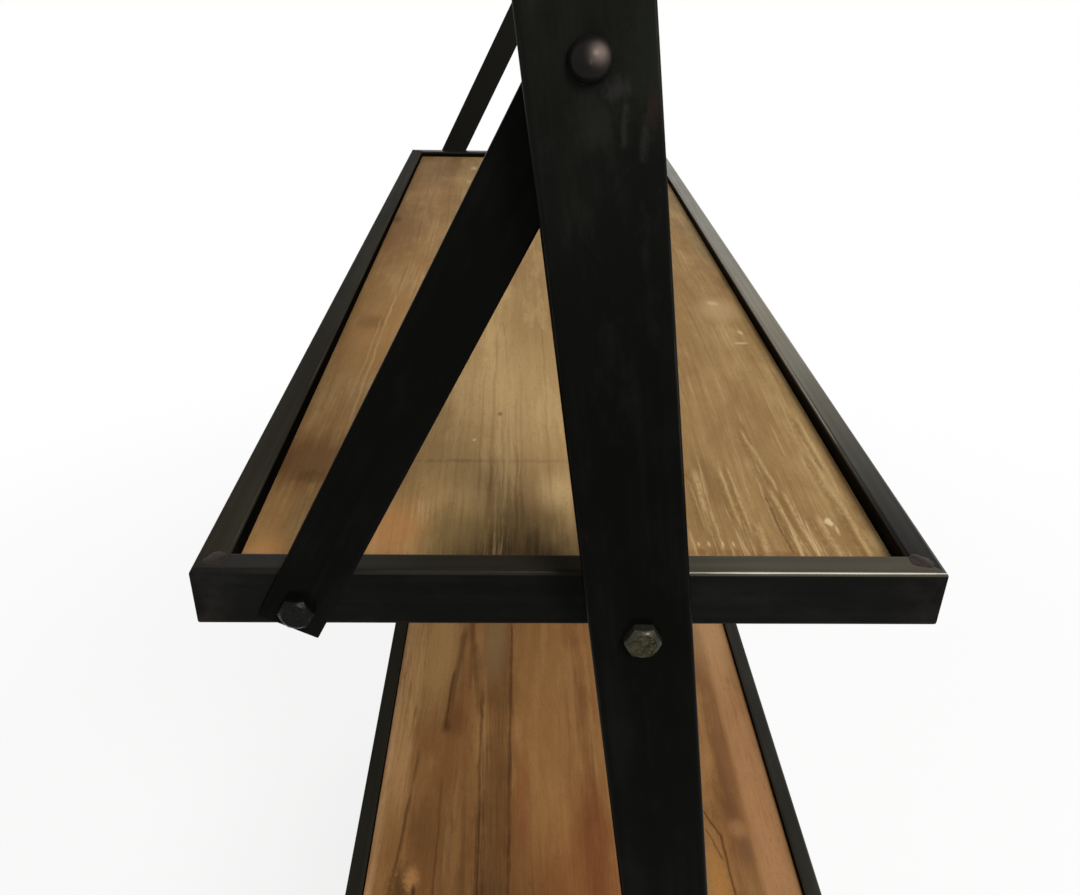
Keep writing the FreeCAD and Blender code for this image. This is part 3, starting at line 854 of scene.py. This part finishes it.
class Bar:
    """Steel bar along X about the origin, with rounded long edges and the layers that its finish reads."""

    SUPPORT = 0.0004
    FLAT = 0.9999
    FAR = 1.0
    LOOPS = (-0.75, -0.5, -0.25, 0, 0.25, 0.5, 0.75)
    SHIFT_Y = 0.37
    SHIFT_Z = 0.61
    TOP_SHARE = 0.8
    INNER_SHEEN = 0.2

    def __init__(self, length, width, height, corner, segments=6):
        self.size = Vector((length, width, height))
        self.corner = corner
        self.mitred = False
        self.mesh = bmesh.new()
        bmesh.ops.create_cube(self.mesh, size=1)
        bmesh.ops.scale(self.mesh, vec=self.size, verts=self.mesh.verts)
        long_edges = [edge for edge in self.mesh.edges if self.run(edge) > length / 2]
        round_edges(self.mesh, long_edges, corner, segments)

    @staticmethod
    def run(edge):
        """How far an edge runs along X."""
        first, second = edge.verts
        return abs(first.co.x - second.co.x)

    def mitre(self):
        """Cut both ends at 45 degrees, the +Y face staying the longest, and add loops along the bar."""
        length, width, _ = self.size
        self.mitred = True
        for end in (-1, 1):
            cut_off(self.mesh, (end * length / 2, width / 2, 0), (end, -1, 0))
        for share in self.LOOPS:
            middle = (share * length / 2, 0, 0)
            bmesh.ops.bisect_plane(self.mesh, geom=whole(self.mesh), plane_co=middle, plane_no=(1, 0, 0))

    def set_layers(self, shift, sheen=None, rubbed=None, dust_and_light_at=None):
        """Store where each point lies on the bar, how near it is to a worn edge and how far from a mitre.

        How glossy the bar is, how dusty it is and how much painted light it gets, and how much its top is
        rubbed and painted lighter, are functions of the place along it, from -1 to 1.
        """
        sheen = sheen or (lambda along: PLAIN_SHEEN)
        flats = []
        for face in self.mesh.faces:
            if max(abs(face.normal.y), abs(face.normal.z)) > self.FLAT:
                flats.append(face)
        bmesh.ops.inset_individual(self.mesh, faces=flats, thickness=self.SUPPORT, use_even_offset=True)
        layers = self.mesh.verts.layers
        place = layers.float_vector.new("place")
        edge, seam, rub_and_light, gloss, dust_and_light = (layers.float.new(name) for name in BAR_LAYERS)
        length, width, height = self.size
        for vert in self.mesh.verts:
            x, y, z = vert.co
            along = 2 * x / length
            vert[place] = vert.co + Vector((shift, shift * self.SHIFT_Y, shift * self.SHIFT_Z))
            over_y = abs(y) - width / 2 + self.corner
            over_z = abs(z) - height / 2 + self.corner
            if min(over_y, over_z) > 0:
                vert[edge] = math.sin(2 * math.atan2(over_z, over_y))
            vert[seam] = length / 2 - width / 2 + y - abs(x) if self.mitred else self.FAR
            on_top = z > height / 2 - self.corner * self.TOP_SHARE
            inside = self.mitred and not on_top and y < 0
            vert[gloss] = sheen(along) * (self.INNER_SHEEN if inside else 1.0)
            if dust_and_light_at:
                vert[dust_and_light] = dust_and_light_at(along)
            if on_top and rubbed:
                vert[rub_and_light] = rubbed(along)

    def put(self, matrix):
        """Move the bar to its place."""
        bmesh.ops.transform(self.mesh, matrix=matrix, verts=self.mesh.verts)


def box_of(node):
    """Middle and size of a CAD node."""
    low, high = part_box(node)
    return (low + high) / 2, high - low


def mast_line(end):
    """Foot of a mast's centre line on the floor, its direction, and the middle of its cap."""
    foot = None
    for mount in frame["record"]["mounts"]:
        if mount["name"] == f"{end}_mast_foot_face":
            foot = Vector(mount["pos_m"])
    if foot is None:
        raise RuntimeError(f"the record has no mount for the foot of the {end} mast")
    cap, _ = box_of(f"{end}_mast_cap")
    return foot, (cap - foot).normalized(), cap


def lean_matrix(middle, direction):
    """Turn a bar from X to a direction in the YZ plane and set it at a place."""
    across = Vector((1, 0, 0))
    side = direction.cross(across)
    turn = Matrix((direction, across, side)).transposed()
    return Matrix.Translation(middle) @ turn.to_4x4()


def strap_lean(size, width):
    """Angle from upright of a strap whose box and width are known."""
    lean = math.atan2(size.y, size.z)
    rounds = 40
    for _ in range(rounds):
        lean = math.atan2(size.y - width * math.cos(lean), size.z - width * math.sin(lean))
    return lean


class ShelfOperator:
    """What the unit's operators share."""

    bl_options = {"REGISTER", "UNDO"}

    @staticmethod
    def steel_piece(context, mesh, name, node):
        """A piece in the bars' steel, which is made once."""
        finish = "blackened_steel"
        steel = bpy.data.materials.get(finish) or blackened_steel(context.scene.shelf_colours, finish)
        return finish_piece(mesh, name, steel, "black_steel", node)

    @staticmethod
    def plain_bolt(name, colours):
        """The finish of the bolts that aren't blackened."""
        return aged_bolt(name, colours.bolt, colours.bolt_side, colours.bolt_grime, colours.bolt_bright)


class SHELF_OT_rails(ShelfOperator, bpy.types.Operator):
    """Model the four mitred rails of each shelf"""

    bl_idname = "shelf_unit.rails"
    bl_label = "Rails"

    def execute(self, context):
        for shelf in SHELVES:
            for index, (side, turn) in enumerate(RAIL_TURNS.items()):
                node = f"shelf_{shelf}_{side}_rail"
                middle, size = box_of(node)
                length, width = (size.x, size.y) if side in ("front", "back") else (size.y, size.x)
                bar = Bar(length, width, size.z, context.scene.shelf_sizes.rail_corner)
                bar.mitre()
                # The low shelves get less rubbing and less painted light, as painted shade
                rubbed = (lambda along: LOW_SHELF_RUB_AND_LIGHT) if shelf in LOW_SHELVES else RAIL_RUB_AND_LIGHT[side]
                bar.set_layers(pattern_shift("rail", index, shelf), RAIL_SHEEN_AND_SHADE[side], rubbed)
                bar.put(Matrix.Translation(middle) @ Matrix.Rotation(math.radians(turn), 4, "Z"))
                self.steel_piece(context, bar.mesh, f"{node}_tube", node)
        return {"FINISHED"}


class SHELF_OT_masts(ShelfOperator, bpy.types.Operator):
    """Model the two leaning masts and the plates on top of them"""

    bl_idname = "shelf_unit.masts"
    bl_label = "Masts and caps"

    def execute(self, context):
        sizes = context.scene.shelf_sizes
        marked_steel = blackened_steel(context.scene.shelf_colours, "mast_steel", MAST_MARKS)
        for index, end in enumerate(ENDS):
            foot, direction, cap = mast_line(end)
            low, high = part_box(f"{end}_mast")
            depth = high.x - low.x
            _, cap_size = box_of(f"{end}_mast_cap")
            width = (cap_size.y - sizes.cap_thickness * direction.y) / direction.z
            length = (cap - foot).length - sizes.cap_thickness / 2
            spare = width
            bar = Bar(length + spare, depth, width, sizes.mast_corner)
            # The masts get more smudges and a lighter veil towards the top
            bar.set_layers(
                pattern_shift("mast", index), lambda along: MAST_SHEEN, dust_and_light_at=lambda along: (along + 1) / 2
            )
            bar.put(lean_matrix(foot + direction * (length - spare) / 2, direction))
            cut_off(bar.mesh, (0, 0, low.z), (0, 0, -1))
            finish_piece(bar.mesh, f"{end}_mast_tube", marked_steel, "black_steel", f"{end}_mast")
            plate = Bar(sizes.cap_thickness, depth, width, sizes.mast_corner)
            rims = [edge for edge in plate.mesh.edges if plate.run(edge) < sizes.cap_thickness / 2]
            round_edges(plate.mesh, rims, sizes.cap_edge, 3)
            plate.set_layers(pattern_shift("cap", index))
            plate.put(lean_matrix(cap, direction))
            self.steel_piece(context, plate.mesh, f"{end}_mast_plate", f"{end}_mast_cap")
        return {"FINISHED"}


class SHELF_OT_straps(ShelfOperator, bpy.types.Operator):
    """Model the flat diagonal straps"""

    bl_idname = "shelf_unit.straps"
    bl_label = "Straps"

    def execute(self, context):
        sizes = context.scene.shelf_sizes
        for shelf in SHELVES:
            for index, end in enumerate(ENDS):
                node = f"shelf_{shelf}_{end}_strap"
                middle, size = box_of(node)
                lean = strap_lean(size, sizes.strap_width)
                length = (size.z - sizes.strap_width * math.sin(lean)) / math.cos(lean)
                bar = Bar(length, size.x, sizes.strap_width, sizes.strap_edge, 4)
                bar.set_layers(
                    pattern_shift("strap", index, shelf),
                    lambda along: STRAP_SHEEN,
                    dust_and_light_at=lambda along: STRAP_DUST_AND_LIGHT[end],
                )
                bar.put(lean_matrix(middle, Vector((0, -math.sin(lean), math.cos(lean)))))
                self.steel_piece(context, bar.mesh, f"{node}_bar", node)
        return {"FINISHED"}


class SHELF_OT_legs(ShelfOperator, bpy.types.Operator):
    """Model the two short rear legs"""

    bl_idname = "shelf_unit.legs"
    bl_label = "Rear legs"

    def execute(self, context):
        for index, end in enumerate(ENDS):
            node = f"{end}_rear_leg"
            middle, size = box_of(node)
            bar = Bar(size.z, size.x, size.y, context.scene.shelf_sizes.leg_corner)
            bar.set_layers(pattern_shift("leg", index))
            bar.put(lean_matrix(middle, Vector((0, 0, 1))))
            self.steel_piece(context, bar.mesh, f"{node}_tube", node)
        return {"FINISHED"}


class SHELF_OT_bearers(ShelfOperator, bpy.types.Operator):
    """Model the bars under each panel"""

    bl_idname = "shelf_unit.bearers"
    bl_label = "Bearers"

    def execute(self, context):
        sizes = context.scene.shelf_sizes
        for shelf in SHELVES:
            node = f"shelf_{shelf}_bearers"
            middle, size = box_of(node)
            span = size.x - sizes.bearer_width
            quarter_turn = Matrix.Rotation(math.radians(90), 4, "Z")
            bars = bmesh.new()
            for index in range(sizes.bearer_count):
                x = middle.x + span * (index / (sizes.bearer_count - 1) - 0.5)
                bar = Bar(size.y, sizes.bearer_width, size.z, sizes.bearer_edge, 3)
                bar.set_layers(pattern_shift("bearer", index, shelf))
                bar.put(Matrix.Translation((x, middle.y, middle.z)) @ quarter_turn)
                add_mesh(bars, bar.mesh)
            self.steel_piece(context, bars, f"{node}_bars", node)
        return {"FINISHED"}


def rail_opening(shelf):
    """Length and depth of the opening inside a shelf's rails."""
    rails = {side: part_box(f"shelf_{shelf}_{side}_rail") for side in RAIL_TURNS}
    return rails["right"][0].x - rails["left"][1].x, rails["back"][0].y - rails["front"][1].y


class SHELF_OT_panels(ShelfOperator, bpy.types.Operator):
    """Model the fir panels"""

    bl_idname = "shelf_unit.panels"
    bl_label = "Fir panels"

    def execute(self, context):
        sizes = context.scene.shelf_sizes
        for shelf in SHELVES:
            node = f"shelf_{shelf}_panel"
            middle, size = box_of(node)
            length, depth = rail_opening(shelf)
            size.x = length - 2 * sizes.panel_gap
            size.y = depth - 2 * sizes.panel_gap
            board = bmesh.new()
            bmesh.ops.create_cube(board, size=1)
            bmesh.ops.scale(board, vec=size, verts=board.verts)
            round_edges(board, board.edges[:], sizes.panel_edge, 4)
            left_lift, right_lift = PANEL_LIFT.get(shelf, (0.0, 0.0))
            for vert in board.verts:
                if vert.co.z > 0:
                    vert.co.z += left_lift + (right_lift - left_lift) * (vert.co.x / size.x + 0.5)
            bmesh.ops.translate(board, vec=middle, verts=board.verts)
            finish_piece(board, f"{node}_board", fir(shelf), "fir", node)
        return {"FINISHED"}


def weld_lump(mesh, middle, reach, turn, seed):
    """Add one uneven lump of weld metal, turned about Z."""
    lump = bmesh.new()
    bmesh.ops.create_icosphere(lump, subdivisions=3, radius=1)
    for vert in lump.verts:
        vert.co *= 1 + WELD_UNEVEN * noise.noise(vert.co * WELD_SPACING + Vector((seed, seed, seed)))
    bmesh.ops.scale(lump, vec=reach, verts=lump.verts)
    matrix = Matrix.Translation(middle) @ Matrix.Rotation(turn, 4, "Z")
    bmesh.ops.transform(lump, matrix=matrix, verts=lump.verts)
    add_mesh(mesh, lump)


class SHELF_OT_welds(ShelfOperator, bpy.types.Operator):
    """Model the ground welds on the mitres"""

    bl_idname = "shelf_unit.welds"
    bl_label = "Welds"

    def execute(self, context):
        sizes = context.scene.shelf_sizes
        material = ground_weld(context.scene.shelf_colours)
        reach = Vector((sizes.weld_length / 2, sizes.weld_width / 2, sizes.weld_rise))
        for shelf in SHELVES:
            welds = bmesh.new()
            low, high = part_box(f"shelf_{shelf}_left_rail")
            _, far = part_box(f"shelf_{shelf}_right_rail")
            for sign_x, edge_x in ((1, low.x), (-1, far.x)):
                for sign_y, edge_y in ((1, low.y), (-1, high.y)):
                    x = edge_x + sign_x * sizes.weld_inset
                    y = edge_y + sign_y * sizes.weld_inset
                    turn = math.atan2(sign_y, sign_x)
                    seed = shelf * 7 + sign_x * 2 + sign_y
                    weld_lump(welds, Vector((x, y, high.z)), reach, turn, seed)
            finish_piece(welds, f"shelf_{shelf}_corner_welds", material, "black_steel")
        return {"FINISHED"}


def bolt_boxes(node):
    """Box of each bolt of a node: one at each end of each shelf."""
    solids = frame["nodes"][node]
    places = [solids.matrix_world @ vert.co for vert in solids.data.vertices]
    for shelf in SHELVES:
        middle, size = box_of(f"shelf_{shelf}_left_rail")
        for sign in (-1, 1):
            own = [place for place in places if place.x * sign > 0 and abs(place.z - middle.z) < size.z]
            low = Vector([min(place[axis] for place in own) for axis in range(3)])
            high = Vector([max(place[axis] for place in own) for axis in range(3)])
            yield sign, low, high


def grow_rim(mesh):
    """Extrude the open edges of a bmesh and return the new points."""
    grown = bmesh.ops.extrude_edge_only(mesh, edges=open_edges(mesh))["geom"]
    return [item for item in grown if isinstance(item, bmesh.types.BMVert)]


def hex_bolt(flats, height, shank, reach):
    """Hex-headed bolt along X: its head's chamfered top at X = 0, its shank towards +X."""
    crown = flats * HEX_CROWN
    slope = math.tan(math.radians(HEX_CHAMFER))
    half_side = math.radians(30)
    bolt = bmesh.new()
    bmesh.ops.create_circle(bolt, cap_ends=True, radius=crown, segments=HEX_POINTS)
    for vert in grow_rim(bolt):
        angle = math.atan2(vert.co.y, vert.co.x)
        off_flat = (angle + half_side) % (2 * half_side) - half_side
        radius = flats / 2 / math.cos(off_flat)
        vert.co = (radius * math.cos(angle), radius * math.sin(angle), -(radius - crown) * slope)
    for vert in grow_rim(bolt):
        vert.co.z = -height
    bmesh.ops.holes_fill(bolt, edges=open_edges(bolt), sides=0)
    bmesh.ops.recalc_face_normals(bolt, faces=bolt.faces)
    length = reach - height
    bmesh.ops.create_cone(
        bolt,
        cap_ends=True,
        segments=SHANK_POINTS,
        radius1=shank / 2,
        radius2=shank / 2,
        depth=length,
        matrix=Matrix.Translation((0, 0, -height - length / 2)),
    )
    turn_mesh(bolt, -90, "Y")
    return bolt


class SHELF_OT_bolts(ShelfOperator, bpy.types.Operator):
    """Model the hex bolts through the masts and the straps"""

    bl_idname = "shelf_unit.bolts"
    bl_label = "Hex bolts"

    def execute(self, context):
        sizes, colours = context.scene.shelf_sizes, context.scene.shelf_colours
        black = colours.bolt_black
        finishes = {
            "mast_bolts": self.plain_bolt("aged_bolt", colours),
            "strap_bolts": aged_bolt("black_bolt", black, black, colours.steel, colours.bolt),
        }
        for node, material in finishes.items():
            bolts = bmesh.new()
            for sign, low, high in bolt_boxes(node):
                bolt = hex_bolt(sizes.hex_flats, sizes.hex_height, sizes.bolt_shank, high.x - low.x)
                middle = (low + high) / 2
                middle.x = low.x if sign < 0 else high.x
                if sign > 0:
                    turn_mesh(bolt, 180, "Z")
                bmesh.ops.translate(bolt, vec=middle, verts=bolt.verts)
                add_mesh(bolts, bolt)
            piece = finish_piece(bolts, f"{node}_heads", material, "bolt_steel", node)
            bevel = piece.modifiers.new("worn_edges", "BEVEL")
            bevel.width = sizes.hex_edge
            bevel.segments = 2
            bevel.limit_method = "ANGLE"
            bevel.angle_limit = math.radians(BOLT_EDGE_ANGLE)
        return {"FINISHED"}


class SHELF_OT_fasteners(ShelfOperator, bpy.types.Operator):
    """Finish the other bolts, the nuts, washers, spacers, screws and feet"""

    bl_idname = "shelf_unit.fasteners"
    bl_label = "Fasteners and feet"

    def execute(self, context):
        colours = context.scene.shelf_colours
        finishes = {
            "bolt_steel": self.plain_bolt("aged_fastener", colours),
            "bronzed_steel": bronzed_steel(colours),
            "foot_plastic": foot_plastic(colours),
        }
        for subpart in frame["record"]["subparts"]:
            material = finishes.get(subpart["material_slot"])
            if material and subpart["node"] not in ("mast_bolts", "strap_bolts"):
                frame["nodes"][subpart["node"]].material_slots[0].material = material
        return {"FINISHED"}


# The photograph's viewpoint: metres, degrees, and a focal length in the photograph's pixels
CAMERA_PLACE = (-0.73994, 0.08499, 1.17827)
CAMERA_PITCH = 28.169
CAMERA_YAW = -1.497
CAMERA_ROLL = -1.109
CAMERA_FOCAL_PIXELS = 940.95
PHOTO_WIDTH = 1080
SENSOR_WIDTH = 36.0
CLIP_START = 0.01

# Light from all round, and how white the floor looks near the unit and between where it fades out
WHITE = (1.0, 1.0, 1.0)
FILL_STRENGTH = 0.52
FLOOR_REACH = 40.0
FLOOR_GLOW = 0.8
FLOOR_FADE = (0.8, 2.2)


class Lamp(NamedTuple):
    """A square soft lamp: where it stands, what it points at, its side and its power."""

    name: str
    place: tuple
    target: tuple
    side: float
    watts: float


LAMPS = (
    Lamp("key_lamp", (-2.1, -0.8, 2.4), (0.0, 0.0, 0.9), 0.8, 58),
    Lamp("far_lamp", (1.5, -2.6, 2.4), (0.0, 0.0, 0.9), 2.0, 25),
)


def unlit_rays(shading):
    """1 for camera, glossy and transmission rays, 0 for the rays that light the object."""
    outputs = shading.node("ShaderNodeLightPath").socket.node.outputs
    total = 0.0
    for kind in ("Camera", "Glossy", "Transmission"):
        total = Value(shading, outputs[f"Is {kind} Ray"]) + total
    return shading.math("MINIMUM", total, 1.0)


class SHELF_OT_stage(ShelfOperator, bpy.types.Operator):
    """Set up the floor, the soft light and the camera"""

    bl_idname = "shelf_unit.stage"
    bl_label = "Stage"

    def execute(self, context):
        self.floor(context)
        self.world(context)
        for lamp in LAMPS:
            self.lamp(context, lamp)
        self.camera(context)
        context.scene.view_settings.view_transform = "Standard"
        return {"FINISHED"}

    @staticmethod
    def floor(context):
        """Pale floor that looks white and keeps the object's shadow."""
        mesh = bmesh.new()
        bmesh.ops.create_grid(mesh, x_segments=1, y_segments=1, size=FLOOR_REACH)
        data = bpy.data.meshes.new("floor")
        mesh.to_mesh(data)
        mesh.free()
        finish = Finish("floor")
        finish.set(base_color=context.scene.shelf_colours.floor, roughness=0.9, specular_ior_level=0.0)
        glow = finish.node("ShaderNodeEmission", None, {"Color": WHITE, "Strength": 1.0})
        along, across, _ = finish.split(finish.place())
        far = finish.step((along * along + across * across) ** 0.5, *FLOOR_FADE)
        share = unlit_rays(finish) * (far * (1 - FLOOR_GLOW) + FLOOR_GLOW)
        surface = Value(finish, finish.surface.outputs[0])
        mixed = finish.node("ShaderNodeMixShader", None, {0: share, 1: surface, 2: glow})
        finish.tree.links.new(mixed.socket, finish.tree.nodes["Material Output"].inputs["Surface"])
        data.materials.append(finish.material)
        floor = bpy.data.objects.new("floor", data)
        context.scene.collection.objects.link(floor)

    @staticmethod
    def world(context):
        """Even white surroundings, dimmer as light than as background."""
        world = bpy.data.worlds.new("studio")
        world.use_nodes = True
        context.scene.world = world
        shading = Shading(world.node_tree)
        background = world.node_tree.nodes["Background"]
        strength = unlit_rays(shading) * (1 - FILL_STRENGTH) + FILL_STRENGTH
        shading.feed(background.inputs["Color"], WHITE)
        shading.feed(background.inputs["Strength"], strength)

    @staticmethod
    def lamp(context, lamp):
        """One soft area lamp."""
        light = bpy.data.lights.new(lamp.name, "AREA")
        light.size = lamp.side
        light.energy = lamp.watts
        stand = bpy.data.objects.new(lamp.name, light)
        stand.location = lamp.place
        aim = Vector(lamp.target) - Vector(lamp.place)
        stand.rotation_euler = aim.to_track_quat("-Z", "Y").to_euler()
        context.scene.collection.objects.link(stand)

    @staticmethod
    def camera(context):
        """Camera at the photograph's viewpoint."""
        data = bpy.data.cameras.new("camera")
        data.sensor_fit = "HORIZONTAL"
        data.sensor_width = SENSOR_WIDTH
        data.lens = CAMERA_FOCAL_PIXELS / PHOTO_WIDTH * SENSOR_WIDTH
        data.clip_start = CLIP_START
        camera = bpy.data.objects.new("camera", data)
        turn = Matrix.Rotation(math.radians(CAMERA_YAW - 90), 4, "Z")
        tilt = Matrix.Rotation(math.radians(90 - CAMERA_PITCH), 4, "X")
        roll = Matrix.Rotation(math.radians(-CAMERA_ROLL), 4, "Z")
        camera.matrix_world = Matrix.Translation(CAMERA_PLACE) @ turn @ tilt @ roll
        context.scene.collection.objects.link(camera)
        context.scene.camera = camera


OPERATORS = (
    SHELF_OT_rails,
    SHELF_OT_masts,
    SHELF_OT_straps,
    SHELF_OT_legs,
    SHELF_OT_bearers,
    SHELF_OT_panels,
    SHELF_OT_welds,
    SHELF_OT_bolts,
    SHELF_OT_fasteners,
    SHELF_OT_stage,
)


class SHELF_PT_builder(bpy.types.Panel):
    """Sizes, colours and steps of the shelf unit"""

    bl_idname = "SHELF_PT_builder"
    bl_label = "Shelf unit"
    bl_space_type = "VIEW_3D"
    bl_region_type = "UI"
    bl_category = "Shelf unit"

    def draw(self, context):
        for group in (context.scene.shelf_sizes, context.scene.shelf_colours):
            for name in group.__annotations__:
                self.layout.prop(group, name)
        for operator in OPERATORS:
            self.layout.operator(operator.bl_idname)


CLASSES = (ShelfUnitSizes, ShelfUnitColours, *OPERATORS, SHELF_PT_builder)


def register():
    """Register the classes and hang the properties on the scene."""
    for cls in CLASSES:
        bpy.utils.register_class(cls)
    bpy.types.Scene.shelf_sizes = PointerProperty(type=ShelfUnitSizes)
    bpy.types.Scene.shelf_colours = PointerProperty(type=ShelfUnitColours)


def unregister():
    """Undo register."""
    del bpy.types.Scene.shelf_sizes
    del bpy.types.Scene.shelf_colours
    for cls in reversed(CLASSES):
        bpy.utils.unregister_class(cls)


def main():
    """Build the looks."""
    register()
    for operator in OPERATORS:
        group, name = operator.bl_idname.split(".")
        getattr(getattr(bpy.ops, group), name)()


if __name__ == "__main__":
    main()
